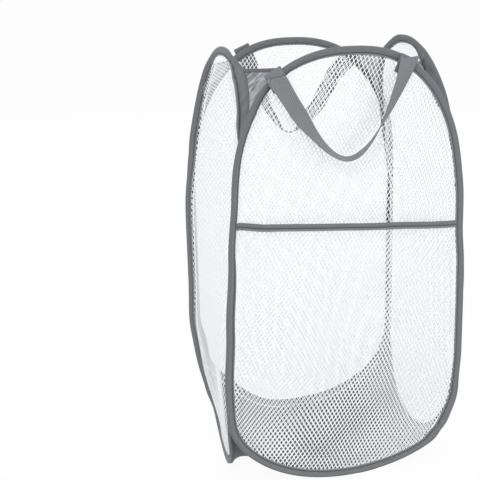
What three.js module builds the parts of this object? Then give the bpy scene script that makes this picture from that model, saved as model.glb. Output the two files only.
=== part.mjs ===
// A pop up laundry hamper. Four spring wire loops in folded binding tape stand as its four walls,
// and each loop holds a net. A fabric base rises into the lower corners, a gusset with a taped edge
// closes each upper corner, a net pocket lies on the front, and two webbing handles hang outside.
// Millimetres, +Z up. The front faces -Y, and the origin is on the floor under the middle.
import * as THREE from "three";

// Loops, measured over the outside of the binding
const frontWidth = 340;
const sideWidth = 250;
const height = 610;
const topArch = 236;
const bottomArch = 120;
const topPower = 2.4;
const bottomPower = 2.1;
const sideLean = 40;
const sideDraw = 16;

// Spring wire, and the ferrule that joins its ends
const wireRadius = 1;
const wireEndGap = 1;
const ferruleWall = 0.35;
const ferruleLength = 16;

// Fabrics
const clearance = 0.3;
const bindingThickness = 0.8;
const bindingWidth = 12;
const netThickness = 0.8;
const baseThickness = 0.8;
const gussetThickness = 0.8;
const edgeTapeThickness = 0.5;
const gussetTapeWidth = 5;

// Net: diamond gaps between strands, in rows of which some lie at the feet of both arches
const netPitchAcross = 54;
const netRowsBetweenFeet = 6;
const netStrand = 5;
const netBorder = 2;

// Gussets, measured along the front loop from its upper corner
const gussetSpan = 71;
const gussetTapeRelief = 2;

// How much farther the base stops from the bindings than the gussets do
const baseRelief = 0.3;

// Pocket: the height of its hem at each side, its crown and how far it stands out
const pocketLeftHeight = 390;
const pocketRightHeight = 365;
const pocketCrown = 2;
const pocketBulge = 12;
const hemWidth = 10;
const pocketCrowdShare = 0.25;

// Handles: webbing that hangs in a V from two sewn ends, each at a distance from the wall's middle
const webbingWidth = 25;
const webbingThickness = 1.6;
const handleLeftReach = 106;
const handleRightReach = 78;
const handleDrop = 120;
const handleOverhang = 1;
const handleTabLength = 22;
const handleBendShare = 0.25;
const handleTurnShare = 0.85;

// Steps along the curves
const topSteps = 16;
const halfBottomSteps = 7;
const cornerSteps = 8;
const acrossSteps = 4;
const pocketColumns = 12;
const pocketRows = 10;
const handleSteps = 20;

// Sizes that follow
const channelFlat = wireRadius + clearance + ferruleWall + clearance;
const channelRadius = channelFlat / Math.cos(Math.PI / 8);
const tubeRadius = channelRadius + bindingThickness;
const slitHalf = netThickness / 2 + clearance;
const lipHalf = slitHalf + bindingThickness;
const hingeReach = tubeRadius * Math.SQRT2 + clearance;
const hingeShift = hingeReach / Math.SQRT2;
const hingeX = frontWidth / 2 - tubeRadius + hingeShift;
const hingeY = sideWidth / 2 - tubeRadius + hingeShift;
const archFoot = height - topArch;
const netInset = tubeRadius + channelRadius + clearance;

const arches = {
  top: { foot: archFoot, rise: topArch, power: topPower, way: 1 },
  bottom: { foot: bottomArch, rise: bottomArch, power: bottomPower, way: -1 },
};
const frontPlane = { half: frontWidth / 2, distance: hingeY + hingeShift, lean: 0, draw: 0 };
const sidePlane = {
  half: sideWidth / 2,
  distance: hingeX + hingeShift,
  lean: sideLean,
  draw: sideDraw,
};
const panels = [
  { name: "front", turn: 0, ...frontPlane },
  { name: "right", turn: Math.PI / 2, ...sidePlane },
  { name: "back", turn: Math.PI, ...frontPlane },
  { name: "left", turn: -Math.PI / 2, ...sidePlane },
];
const cornerNames = ["front_right", "back_right", "back_left", "front_left"];
const upward = new THREE.Vector3(0, 0, 1);

const fabricGrey = new THREE.MeshStandardMaterial({ color: 0x76797b, roughness: 0.85 });
const webbingGrey = new THREE.MeshStandardMaterial({ color: 0x7b7e80, roughness: 0.8 });
const netWhite = new THREE.MeshStandardMaterial({ color: 0xf1f2f4, roughness: 0.7 });
const springSteel = new THREE.MeshStandardMaterial({
  color: 0xb4b6b8,
  roughness: 0.35,
  metalness: 1,
});

// How far inward a panel lies: a side panel leans above the foot of its top arch, and the base
// draws it in below the foot of its bottom arch.
function inwardShift(panel, up) {
  const lean = (panel.lean * Math.max(0, up - archFoot)) / topArch;
  const draw = (panel.draw * Math.max(0, bottomArch - up)) / bottomArch;
  return lean + draw;
}

// A point of a panel, seen from outside: across to the right, up, and out towards the viewer.
function panelPoint(panel, across, up, out) {
  return new THREE.Vector3(across, inwardShift(panel, up) - panel.distance - out, up);
}

// The outer edge of a loop at an angle along one of its arches, 0 at the right foot and pi at the
// left one, with the direction that points into the panel.
function edgeAt(half, arch, angle) {
  const acrossShare = Math.sign(Math.cos(angle)) * Math.abs(Math.cos(angle)) ** (2 / arch.power);
  const upShare = Math.abs(Math.sin(angle)) ** (2 / arch.power);
  const slopeAcross = Math.sign(acrossShare) * Math.abs(acrossShare) ** (arch.power - 1);
  const slopeUp = arch.way * upShare ** (arch.power - 1);
  const inward = new THREE.Vector2(-slopeAcross / half, -slopeUp / arch.rise).normalize();
  return { across: half * acrossShare, up: arch.foot + arch.way * arch.rise * upShare, inward };
}

// Places along a loop: up its right side from the middle of the base, over the top from right to
// left, and down its left side. The base stays flat along the ferrule.
function loopParts(half) {
  const angles = (arch, from, to, steps) =>
    Array.from({ length: steps + 1 }, (_, i) =>
      edgeAt(half, arch, from + ((to - from) * i) / steps),
    );
  const flatShare = (ferruleLength / 2 + wireRadius) / half;
  const flatAngle = Math.acos(flatShare ** (bottomPower / 2));
  const [middle, ...right] = angles(arches.bottom, Math.PI / 2, 0, halfBottomSteps);
  const left = angles(arches.bottom, Math.PI, Math.PI / 2, halfBottomSteps).slice(0, -1);
  return {
    lowerRight: [middle, edgeAt(half, arches.bottom, flatAngle), ...right],
    upper: angles(arches.top, 0, Math.PI, topSteps),
    lowerLeft: [...left, edgeAt(half, arches.bottom, Math.PI - flatAngle)],
  };
}

// A station's point at a depth from the outer edge.
function inset(station, depth) {
  return new THREE.Vector2(station.across, station.up).addScaledVector(station.inward, depth);
}

// A closed solid from points and faces, with the faces turned outward.
function solid(points, faces) {
  let volume = 0;
  for (const [a, b, c] of faces) {
    volume += points[a].dot(points[b].clone().cross(points[c]));
  }
  const outward = volume < 0 ? faces.map(([a, b, c]) => [a, c, b]) : faces;
  const geometry = new THREE.BufferGeometry().setFromPoints(points);
  geometry.setIndex(outward.flat());
  geometry.computeVertexNormals();
  return geometry;
}

// A solid that carries one flat section through a row of places. Each place turns a point of the
// section into a point in space. A closed row joins its last place to its first.
function loft(section, places, closed) {
  const points = places.flatMap((place) => section.map((point) => place(point.x, point.y)));
  const count = section.length;
  const spans = closed ? places.length : places.length - 1;
  const faces = [];
  for (let i = 0; i < spans; i += 1) {
    const near = i * count;
    const far = ((i + 1) % places.length) * count;
    for (let j = 0; j < count; j += 1) {
      const next = (j + 1) % count;
      faces.push([near + j, near + next, far + next], [near + j, far + next, far + j]);
    }
  }
  if (!closed) {
    const last = spans * count;
    for (const [a, b, c] of THREE.ShapeUtils.triangulateShape(section, [])) {
      faces.push([a, c, b], [last + a, last + b, last + c]);
    }
  }
  return solid(points, faces);
}

// A sheet of cloth from the points and faces of its middle surface. Points in level keep their
// thickness straight up and down.
function thicken(points, faces, thickness, level = new Set()) {
  const normals = points.map(() => new THREE.Vector3());
  const edges = new Set();
  for (const face of faces) {
    const [a, b, c] = face.map((index) => points[index]);
    const normal = b.clone().sub(a).cross(c.clone().sub(a));
    face.forEach((index) => normals[index].add(normal));
    face.forEach((index, i) => edges.add(`${index} ${face[(i + 1) % 3]}`));
  }
  level.forEach((index) => normals[index].copy(upward));
  const count = points.length;
  const skins = [1, -1].flatMap((way) =>
    points.map((point, i) =>
      point.clone().addScaledVector(normals[i].normalize(), (way * thickness) / 2),
    ),
  );
  const skinFaces = faces.flatMap(([a, b, c]) => [[a, b, c], [count + a, count + c, count + b]]);
  for (const edge of edges) {
    const [a, b] = edge.split(" ").map(Number);
    if (!edges.has(`${b} ${a}`)) {
      skinFaces.push([b, a, count + a], [b, count + a, count + b]);
    }
  }
  return solid(skins, skinFaces);
}

// Points of an arc about a centre on the section's first axis.
function arcPoints(centre, radius, from, to, steps) {
  return Array.from({ length: steps + 1 }, (_, i) => {
    const angle = from + ((to - from) * i) / steps;
    return new THREE.Vector2(centre + radius * Math.cos(angle), radius * Math.sin(angle));
  });
}

// The binding's section: tape folded round the wire, whose two lips hold the edge of the net.
function bindingSection() {
  const slitAngle = Math.asin(slitHalf / channelRadius);
  const shoulder = Math.PI * 0.3;
  return [
    new THREE.Vector2(bindingWidth, lipHalf),
    ...arcPoints(tubeRadius, tubeRadius, shoulder, 2 * Math.PI - shoulder, 6),
    new THREE.Vector2(bindingWidth, -lipHalf),
    new THREE.Vector2(bindingWidth, -slitHalf),
    ...arcPoints(tubeRadius, channelRadius, 2 * Math.PI - slitAngle, slitAngle, 7),
    new THREE.Vector2(bindingWidth, slitHalf),
  ];
}

// The section of a narrow tape folded over an edge of cloth. It starts a fold above the edge.
function foldedTapeSection(width, clothThickness) {
  const gap = clothThickness / 2 + clearance;
  const outside = gap + edgeTapeThickness;
  const fold = clearance + edgeTapeThickness;
  return [
    [-fold, -outside],
    [width - fold, -outside],
    [width - fold, -gap],
    [-clearance, -gap],
    [-clearance, gap],
    [width - fold, gap],
    [width - fold, outside],
    [-fold, outside],
  ].map(([down, out]) => new THREE.Vector2(down, out));
}

// Places for a section that is swept along stations: its depth into the panel and how far out.
function loopPlaces(panel, stations) {
  return stations.map((station) => (depth, out) => {
    const point = inset(station, depth);
    return panelPoint(panel, point.x, point.y, out);
  });
}

function bindingGeometry(panel) {
  const stations = Object.values(loopParts(panel.half)).flat();
  return loft(bindingSection(), loopPlaces(panel, stations), true);
}

// The wire stops short of the middle of the base at both ends, inside the ferrule.
function wireGeometry(panel) {
  const [middle, ...others] = Object.values(loopParts(panel.half)).flat();
  const start = { ...middle, across: wireEndGap / 2 };
  const end = { ...middle, across: -wireEndGap / 2 };
  const section = arcPoints(tubeRadius, wireRadius, 0, 2 * Math.PI, 6).slice(1);
  return loft(section, loopPlaces(panel, [start, ...others, end]), false);
}

function ferruleGeometry(panel) {
  const inner = wireRadius + clearance;
  const profile = [
    [inner, -ferruleLength / 2],
    [inner + ferruleWall, -ferruleLength / 2],
    [inner + ferruleWall, ferruleLength / 2],
    [inner, ferruleLength / 2],
    [inner, -ferruleLength / 2],
  ].map(([radius, along]) => new THREE.Vector2(radius, along));
  const geometry = new THREE.LatheGeometry(profile, 12);
  geometry.rotateZ(Math.PI / 2);
  const middle = panelPoint(panel, 0, tubeRadius, 0);
  return geometry.translate(middle.x, middle.y, middle.z);
}

// Whether a point lies inside a loop by at least a depth.
function insideLoop(half, point, depth) {
  const acrossShare = Math.abs(point.x) / (half - depth);
  const arch = Object.values(arches).find(({ foot, way }) => (point.y - foot) * way > 0);
  if (!arch) {
    return acrossShare < 1;
  }
  const upShare = Math.abs(point.y - arch.foot) / (arch.rise - depth);
  return acrossShare ** arch.power + upShare ** arch.power < 1;
}

// A diamond gap as a share of its cell, which leaves a strand's width between neighbours.
function strandGapShare(halfAcross, halfUp) {
  return 1 - (netStrand / 2) * (Math.hypot(halfAcross, halfUp) / (halfAcross * halfUp));
}

// Diamond gaps in staggered rows about the foot of the top arch, kept where the test allows them.
function diamonds(allowed) {
  const rise = (archFoot - bottomArch) / netRowsBetweenFeet;
  const cell = new THREE.Vector2(netPitchAcross / 2, rise);
  const gapShare = strandGapShare(cell.x, cell.y);
  const found = [];
  const rows = Math.ceil(height / cell.y);
  const columns = Math.ceil(frontWidth / netPitchAcross);
  for (let row = -rows; row <= rows; row += 1) {
    for (let column = -columns; column <= columns; column += 1) {
      const shift = row % 2 === 0 ? column : column + 1 / 2;
      const middle = new THREE.Vector2(shift * netPitchAcross, archFoot + row * cell.y);
      const corners = [[1, 0], [0, 1], [-1, 0], [0, -1]].map(
        ([x, y]) =>
          new THREE.Vector2(middle.x + x * cell.x * gapShare, middle.y + y * cell.y * gapShare),
      );
      if (corners.every(allowed)) {
        found.push({ row, corners });
      }
    }
  }
  return found;
}

// A net from flat regions that share their common edge, each with its gaps.
function netGeometry(regions, toSpace) {
  const indices = new Map();
  const points = [];
  const faces = [];
  for (const { edge, gaps } of regions) {
    const flat = [edge, ...gaps].flat();
    const place = flat.map((point) => {
      const key = `${point.x.toFixed(3)} ${point.y.toFixed(3)}`;
      if (!indices.has(key)) {
        indices.set(key, points.length);
        points.push(toSpace(point));
      }
      return indices.get(key);
    });
    for (const face of THREE.ShapeUtils.triangulateShape(edge, gaps)) {
      faces.push(face.map((index) => place[index]));
    }
  }
  return thicken(points, faces, netThickness);
}

// A wall's net is three regions that meet at the feet of the arches, so that it can bend there.
// Their common edges follow the gaps of the row that lies at each foot.
function wallNetGeometry(panel) {
  const parts = loopParts(panel.half);
  const rim = (stations) => stations.map((station) => inset(station, netInset));
  const upper = rim(parts.upper);
  const lower = rim([...parts.lowerLeft, ...parts.lowerRight]);
  const found = diamonds((point) => insideLoop(panel.half, point, bindingWidth + netBorder));
  const gapsOf = (from, to) =>
    found.filter(({ row }) => row > from && row < to).map(({ corners }) => corners);
  const rowGaps = (wanted) => gapsOf(wanted - 1, wanted + 1);
  const over = (row) => rowGaps(row).flatMap(([right, top, left]) => [left, top, right]);
  const under = (row) =>
    rowGaps(row).flatMap(([right, , left, bottom]) => [left, bottom, right]).reverse();
  const foot = -netRowsBetweenFeet;
  const regions = [
    { edge: [...upper, ...over(0)], gaps: gapsOf(0, Infinity) },
    {
      edge: [upper.at(-1), lower[0], ...over(foot), lower.at(-1), upper[0], ...under(0)],
      gaps: gapsOf(foot, 0),
    },
    { edge: [...lower, ...under(foot)], gaps: gapsOf(-Infinity, foot) },
  ];
  return netGeometry(regions, (point) => panelPoint(panel, point.x, point.y, 0));
}

// The pocket's upper edge, and how far the pocket stands out from the front's middle surface.
const pocketHalf = frontWidth / 2 - tubeRadius;
const hemOutside = netThickness / 2 + clearance + edgeTapeThickness;
const pocketBase = tubeRadius + clearance + hemOutside;

function hemHeight(across) {
  const share = across / pocketHalf;
  const slope = ((pocketRightHeight - pocketLeftHeight) * share) / 2;
  const middle = (pocketLeftHeight + pocketRightHeight) / 2;
  return middle + slope + pocketCrown * (1 - share ** 2);
}

function pocketOut(across, up) {
  const low = bottomArch / 2;
  const rise = THREE.MathUtils.smoothstep(up, low, hemHeight(across) - hemWidth);
  return pocketBase + pocketBulge * rise * Math.max(0, 1 - (across / pocketHalf) ** 2);
}

function pocketColumn(column) {
  const share = (2 * column) / pocketColumns - 1;
  return pocketHalf * share * (1 + pocketCrowdShare * (1 - share ** 2));
}

// A point of the pocket in steps of its lattice. The last row is the hem's upper edge.
function pocketPoint(column, row) {
  const across = pocketColumn(column);
  const share = Math.abs(across) / pocketHalf;
  const inner = (1 - share ** bottomPower) ** (1 / bottomPower);
  const low = bottomArch - (bottomArch - tubeRadius) * inner;
  const top = hemHeight(across) - hemWidth;
  const up = row > pocketRows ? hemHeight(across) : low + ((top - low) * row) / pocketRows;
  return new THREE.Vector2(across, up);
}

// The pocket's net: diamond cells about every second point of a lattice, whole inside it and
// without a gap along its rim, and a plain strip inside the hem.
function pocketNetGeometry(front) {
  const points = [];
  const faces = [];
  const indices = new Map();
  const add = (key, flat) => {
    if (!indices.has(key)) {
      indices.set(key, points.length);
      points.push(panelPoint(front, flat.x, flat.y, pocketOut(flat.x, flat.y)));
    }
    return indices.get(key);
  };
  const gridIndex = (column, row) => add(`${column} ${row}`, pocketPoint(column, row));
  const inside = ([column, row]) =>
    column >= 0 && column <= pocketColumns && row >= 0 && row <= pocketRows;
  const gapShare = strandGapShare(frontWidth / pocketColumns, pocketLeftHeight / pocketRows);
  const addCell = (column, row) => {
    const middle = pocketPoint(column, row);
    const around = [[1, 0], [0, 1], [-1, 0], [0, -1]].map(([x, y]) => [column + x, row + y]);
    const whole = around.every(inside);
    around.forEach((near, k) => {
      const next = around[(k + 1) % around.length];
      if (!inside(near) || !inside(next)) {
        return;
      }
      const [a, b] = [gridIndex(...near), gridIndex(...next)];
      if (!whole) {
        faces.push([gridIndex(column, row), a, b]);
        return;
      }
      const [c, d] = [near, next].map((place) =>
        add(`gap ${column} ${row} ${place}`, middle.clone().lerp(pocketPoint(...place), gapShare)),
      );
      faces.push([a, b, d], [a, d, c]);
    });
  };
  for (let column = 0; column <= pocketColumns; column += 1) {
    for (let row = (column + 1) % 2; row <= pocketRows; row += 2) {
      addCell(column, row);
    }
  }
  for (let column = 0; column < pocketColumns; column += 1) {
    const [a, b] = [gridIndex(column, pocketRows), gridIndex(column + 1, pocketRows)];
    const [c, d] = [gridIndex(column, pocketRows + 1), gridIndex(column + 1, pocketRows + 1)];
    faces.push([a, b, d], [a, d, c]);
  }
  return thicken(points, faces, netThickness);
}

function pocketHemGeometry(front) {
  const places = Array.from({ length: pocketColumns + 1 }, (_, column) => {
    const across = pocketColumn(column);
    const top = hemHeight(across);
    return (down, out) => panelPoint(front, across, top - down, pocketOut(across, top) + out);
  });
  return loft(foldedTapeSection(hemWidth, netThickness), places, false);
}

// A ruling of a corner's cloth: the straight line between the wires of the two loops that meet
// there, cut back to clear both bindings.
function wirePoint(panel, side, arch, angle) {
  const point = inset(edgeAt(panel.half, arch, angle), tubeRadius);
  return panelPoint(panel, side * point.x, point.y, 0).applyAxisAngle(upward, panel.turn);
}

function ruling(corner, arch, angle, relief) {
  const nudge = 0.001;
  const other = angle < Math.PI / 4 ? angle + nudge : angle - nudge;
  const ends = corner.map(({ panel, side }) => wirePoint(panel, side, arch, angle));
  const along = ends[1].clone().sub(ends[0]).normalize();
  return corner.map(({ panel, side }, i) => {
    const tangent = wirePoint(panel, side, arch, other).sub(ends[i]).normalize();
    const slant = Math.sqrt(1 - tangent.dot(along) ** 2);
    const cut = (tubeRadius + clearance) / slant + relief;
    return ends[i].clone().addScaledVector(along, i === 0 ? cut : -cut);
  });
}

const corners = cornerNames.map((name, i) => ({
  name,
  sides: [
    { panel: panels[i], side: 1 },
    { panel: panels[(i + 1) % panels.length], side: -1 },
  ],
}));

// The angle along the top arch where the gussets end
const gussetShare = 1 - gussetSpan / (frontWidth / 2);
const gussetAngle = Math.acos(gussetShare ** (topPower / 2));

// A grid of points over a corner's cloth, from the foot of the arch to an angle along it.
function cornerGrid(corner, arch, lastAngle, relief) {
  const points = [];
  for (let i = 0; i <= cornerSteps; i += 1) {
    const [from, to] = ruling(corner.sides, arch, (lastAngle * i) / cornerSteps, relief);
    for (let j = 0; j <= acrossSteps; j += 1) {
      points.push(from.clone().lerp(to, j / acrossSteps));
    }
  }
  return points;
}

function gridFaces(start) {
  const faces = [];
  for (let i = 0; i < cornerSteps; i += 1) {
    for (let j = 0; j < acrossSteps; j += 1) {
      const a = start + i * (acrossSteps + 1) + j;
      const b = a + acrossSteps + 1;
      faces.push([a, a + 1, b + 1], [a, b + 1, b]);
    }
  }
  return faces;
}

function gussetGeometry(corner) {
  return thicken(cornerGrid(corner, arches.top, gussetAngle, 0), gridFaces(0), gussetThickness);
}

// The tape follows the gusset's straight upper edge and folds down both its faces.
function gussetTapeGeometry(corner) {
  const step = gussetAngle / cornerSteps;
  const [from, to] = ruling(corner.sides, arches.top, gussetAngle, gussetTapeRelief);
  const lower = ruling(corner.sides, arches.top, gussetAngle - step, gussetTapeRelief);
  const along = to.clone().sub(from).normalize();
  const places = Array.from({ length: acrossSteps + 1 }, (_, j) => {
    const edge = from.clone().lerp(to, j / acrossSteps);
    const down = lower[0].clone().lerp(lower[1], j / acrossSteps).sub(edge);
    down.addScaledVector(along, -down.dot(along)).normalize();
    const normal = along.clone().cross(down);
    return (depth, out) => edge.clone().addScaledVector(down, depth).addScaledVector(normal, out);
  });
  return loft(foldedTapeSection(gussetTapeWidth, gussetThickness), places, false);
}

// The base: cloth that lies flat between the loops' lowest points and rises into each corner.
function baseGeometry() {
  const lift = tubeRadius - baseThickness / 2;
  const points = [new THREE.Vector3(0, 0, baseThickness / 2)];
  const faces = [];
  const level = new Set([0]);
  const rim = [];
  for (const corner of corners) {
    const start = points.length;
    for (const point of cornerGrid(corner, arches.bottom, Math.PI / 2, baseRelief)) {
      points.push(point.setZ(point.z - lift));
    }
    faces.push(...gridFaces(start));
    const lowest = start + cornerSteps * (acrossSteps + 1);
    for (let j = 0; j <= acrossSteps; j += 1) {
      points[lowest + j].setZ(baseThickness / 2);
      level.add(lowest + j);
      rim.push(lowest + j);
    }
  }
  rim.forEach((index, i) => faces.push([0, index, rim[(i + 1) % rim.length]]));
  return thicken(points, faces, baseThickness, level);
}

// The sewn seam of a corner: it fills the space between the two bindings, on the line where they
// fold.
function seamGeometry() {
  const hollow = tubeRadius + clearance;
  const half = Math.PI / 6;
  const near = arcPoints(-hingeReach, hollow, -half, half, 2);
  const far = arcPoints(hingeReach, hollow, Math.PI - half, Math.PI + half, 2);
  return new THREE.ExtrudeGeometry(new THREE.Shape([...near, ...far]), {
    depth: archFoot - bottomArch - clearance,
    bevelEnabled: false,
  });
}

// Handles. Both ends of one are sewn just above the outer edge of the arch, on the slanted line
// about which it folds.
const [handleLeftEnd, handleRightEnd] = [-handleLeftReach, handleRightReach].map((across) => {
  const share = Math.abs(across) / (frontWidth / 2);
  const up = archFoot + topArch * (1 - share ** topPower) ** (1 / topPower) + handleOverhang;
  return new THREE.Vector2(across, up);
});
const handleMiddle = handleLeftEnd.clone().lerp(handleRightEnd, 1 / 2);
const handleHalf = handleLeftEnd.distanceTo(handleRightEnd) / 2;
const handleTilt = handleRightEnd.clone().sub(handleLeftEnd).angle();
const tabOut = tubeRadius + clearance + webbingThickness / 2;
const strapOut = tabOut + webbingThickness + clearance;

// The webbing's middle line over the share from its left end, -1, to its right end, 1, measured
// from the middle of the line where the handle folds.
function handlePoint(share) {
  const bend = (value) => Math.hypot(value, handleBendShare) - handleBendShare;
  return new THREE.Vector2(handleHalf * share, -handleDrop * (1 - bend(share) / bend(1)));
}

function handleDirection(share) {
  const nudge = 0.001;
  return handlePoint(share + nudge).sub(handlePoint(share - nudge)).normalize();
}

// The webbing lies flat against the wall at its ends and turns over once between them, so that its
// lowest stretch stands out on edge. Its ends are cut along the line where the handle folds.
function handleTurn(share) {
  return Math.PI * THREE.MathUtils.clamp((1 + share / handleTurnShare) / 2, 0, 1);
}

function strapGeometry() {
  const section = [[-1, -1], [1, -1], [1, 1], [-1, 1]].map(
    ([x, y]) => new THREE.Vector2((x * webbingWidth) / 2, (y * webbingThickness) / 2),
  );
  const places = Array.from({ length: handleSteps + 1 }, (_, i) => {
    const share = (2 * i) / handleSteps - 1;
    const middle = handlePoint(share);
    const along = handleDirection(share);
    const turn = handleTurn(share);
    const out = strapOut + (webbingWidth / 2) * Math.sin(turn);
    const origin = new THREE.Vector3(middle.x, -out, middle.y);
    const inPlane = new THREE.Vector3(-along.y, 0, along.x);
    if (Math.abs(share) === 1) {
      inPlane.set(-1 / along.y, 0, 0);
    }
    const outward = new THREE.Vector3(0, -1, 0);
    const wide = inPlane.clone().multiplyScalar(Math.cos(turn));
    wide.addScaledVector(outward, Math.sin(turn));
    const face = outward.multiplyScalar(Math.cos(turn)).addScaledVector(inPlane, -Math.sin(turn));
    return (width, depth) =>
      origin.clone().addScaledVector(wide, width).addScaledVector(face, depth);
  });
  return loft(section, places, false);
}

function tabMesh(side) {
  const along = handleDirection(side);
  const end = handlePoint(side).addScaledVector(along, (-side * handleTabLength) / 2);
  const mesh = new THREE.Mesh(
    new THREE.BoxGeometry(handleTabLength, webbingThickness, webbingWidth),
    webbingGrey,
  );
  mesh.position.set(end.x, -tabOut, end.y);
  mesh.rotation.y = -Math.atan2(along.y, along.x);
  return mesh;
}

function addMesh(group, name, geometry, material) {
  const mesh = new THREE.Mesh(geometry, material);
  mesh.name = name;
  group.add(mesh);
}

function makeWall(panel) {
  const wall = new THREE.Group();
  wall.rotation.z = panel.turn;
  addMesh(wall, `${panel.name}_wire`, wireGeometry(panel), springSteel);
  addMesh(wall, `${panel.name}_ferrule`, ferruleGeometry(panel), springSteel);
  addMesh(wall, `${panel.name}_binding`, bindingGeometry(panel), fabricGrey);
  addMesh(wall, `${panel.name}_net`, wallNetGeometry(panel), netWhite);
  return wall;
}

function addPocket(wall, front) {
  addMesh(wall, "pocket_net", pocketNetGeometry(front), netWhite);
  addMesh(wall, "pocket_hem", pocketHemGeometry(front), fabricGrey);
}

function addHandle(wall, panel) {
  const handle = new THREE.Group();
  handle.position.copy(panelPoint(panel, handleMiddle.x, handleMiddle.y, 0));
  handle.rotation.y = -handleTilt;
  addMesh(handle, `${panel.name}_handle_strap`, strapGeometry(), webbingGrey);
  for (const [side, word] of [[-1, "left"], [1, "right"]]) {
    const tab = tabMesh(side);
    tab.name = `${panel.name}_handle_${word}_tab`;
    handle.add(tab);
  }
  wall.add(handle);
}

function makeCorner(corner, index) {
  const group = new THREE.Group();
  addMesh(group, `${corner.name}_gusset`, gussetGeometry(corner), fabricGrey);
  addMesh(group, `${corner.name}_gusset_tape`, gussetTapeGeometry(corner), fabricGrey);
  const seam = new THREE.Mesh(seamGeometry(), fabricGrey);
  seam.name = `${corner.name}_seam`;
  const east = index < 2 ? 1 : -1;
  const north = index === 1 || index === 2 ? 1 : -1;
  seam.position.set(east * hingeX, north * hingeY, bottomArch);
  seam.rotation.z = (east * north * -Math.PI) / 4;
  group.add(seam);
  return group;
}

const hamper = new THREE.Group();
const walls = panels.map(makeWall);
hamper.add(...walls);
addPocket(walls[0], panels[0]);
addHandle(walls[0], panels[0]);
addHandle(walls[2], panels[2]);
addMesh(hamper, "base", baseGeometry(), fabricGrey);
hamper.add(...corners.map(makeCorner));

export default hamper;
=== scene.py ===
import math

import bmesh
import bpy
import numpy as np
from mathutils import Matrix, Vector


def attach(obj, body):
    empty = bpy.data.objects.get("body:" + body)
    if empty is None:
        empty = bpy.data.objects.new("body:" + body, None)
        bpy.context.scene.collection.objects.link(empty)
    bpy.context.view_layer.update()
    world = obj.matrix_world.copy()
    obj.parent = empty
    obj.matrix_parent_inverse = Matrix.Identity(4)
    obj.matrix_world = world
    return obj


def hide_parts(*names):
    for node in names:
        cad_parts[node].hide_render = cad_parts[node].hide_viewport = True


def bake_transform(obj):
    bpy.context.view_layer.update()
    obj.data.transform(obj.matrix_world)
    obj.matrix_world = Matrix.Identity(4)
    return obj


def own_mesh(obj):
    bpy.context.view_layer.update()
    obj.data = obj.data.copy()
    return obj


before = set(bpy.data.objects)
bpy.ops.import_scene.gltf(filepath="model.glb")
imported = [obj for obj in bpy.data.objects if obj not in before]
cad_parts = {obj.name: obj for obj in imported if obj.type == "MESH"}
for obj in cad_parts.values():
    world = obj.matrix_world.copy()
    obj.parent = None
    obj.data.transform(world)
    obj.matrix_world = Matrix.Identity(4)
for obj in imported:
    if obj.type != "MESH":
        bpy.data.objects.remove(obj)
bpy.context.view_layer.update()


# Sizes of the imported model
FRONT_HALF, SIDE_HALF = 0.170, 0.125
HEIGHT, TOP_ARCH, BOTTOM_ARCH = 0.610, 0.236, 0.120
TOP_POWER, BOTTOM_POWER = 2.4, 2.1
ARCH_FOOT = HEIGHT - TOP_ARCH
# The arches of each loop: where one starts, how far it rises, its power, and its way up or down
ARCHES = {
    "top": (ARCH_FOOT, TOP_ARCH, TOP_POWER, 1),
    "bottom": (BOTTOM_ARCH, BOTTOM_ARCH, BOTTOM_POWER, -1),
}
TUBE = 0.0029107  # half the binding's thickness at its folded edge
STITCH_LINE = 0.0092  # how far from that edge the tape is stitched
LIP = 0.0105  # how far from it the pocket and a gusset meet the tape's lip
TUCK = TUBE - 0.0006  # how far from a wire the corners' cloth starts
WIRE = 0.001  # the spring wire's radius
TURNED, SETTLED = 0.017, 0.046  # how deep an edge turns as one, and where the net is flat again
HINGE_X, HINGE_Y = 0.170212, 0.125212
FRONT_PLANE, SIDE_PLANE = 0.128335, 0.173335
PANELS = {
    "front": (FRONT_HALF, FRONT_PLANE, 0.0),
    "right": (SIDE_HALF, SIDE_PLANE, math.pi / 2),
    "back": (FRONT_HALF, FRONT_PLANE, math.pi),
    "left": (SIDE_HALF, SIDE_PLANE, -math.pi / 2),
}
# How each side wall stands: which way along it is forward, how far it leans in at the top, and how
# far the base draws it in at its middle, how much more at its front, and from which height down.
SIDES = {
    "left": dict(ahead=1, lean=0.034, draw=0.0175, slant=-0.0165, drawn=0.17),
    "right": dict(ahead=-1, lean=0.044, draw=0.024, slant=0.010, drawn=0.12),
}
FRONT_SKEW = 0.003
# How much higher each wall's top stands
TALLER = {"front": 0.0020, "right": 0.005, "back": -0.003, "left": -0.004}
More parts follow.
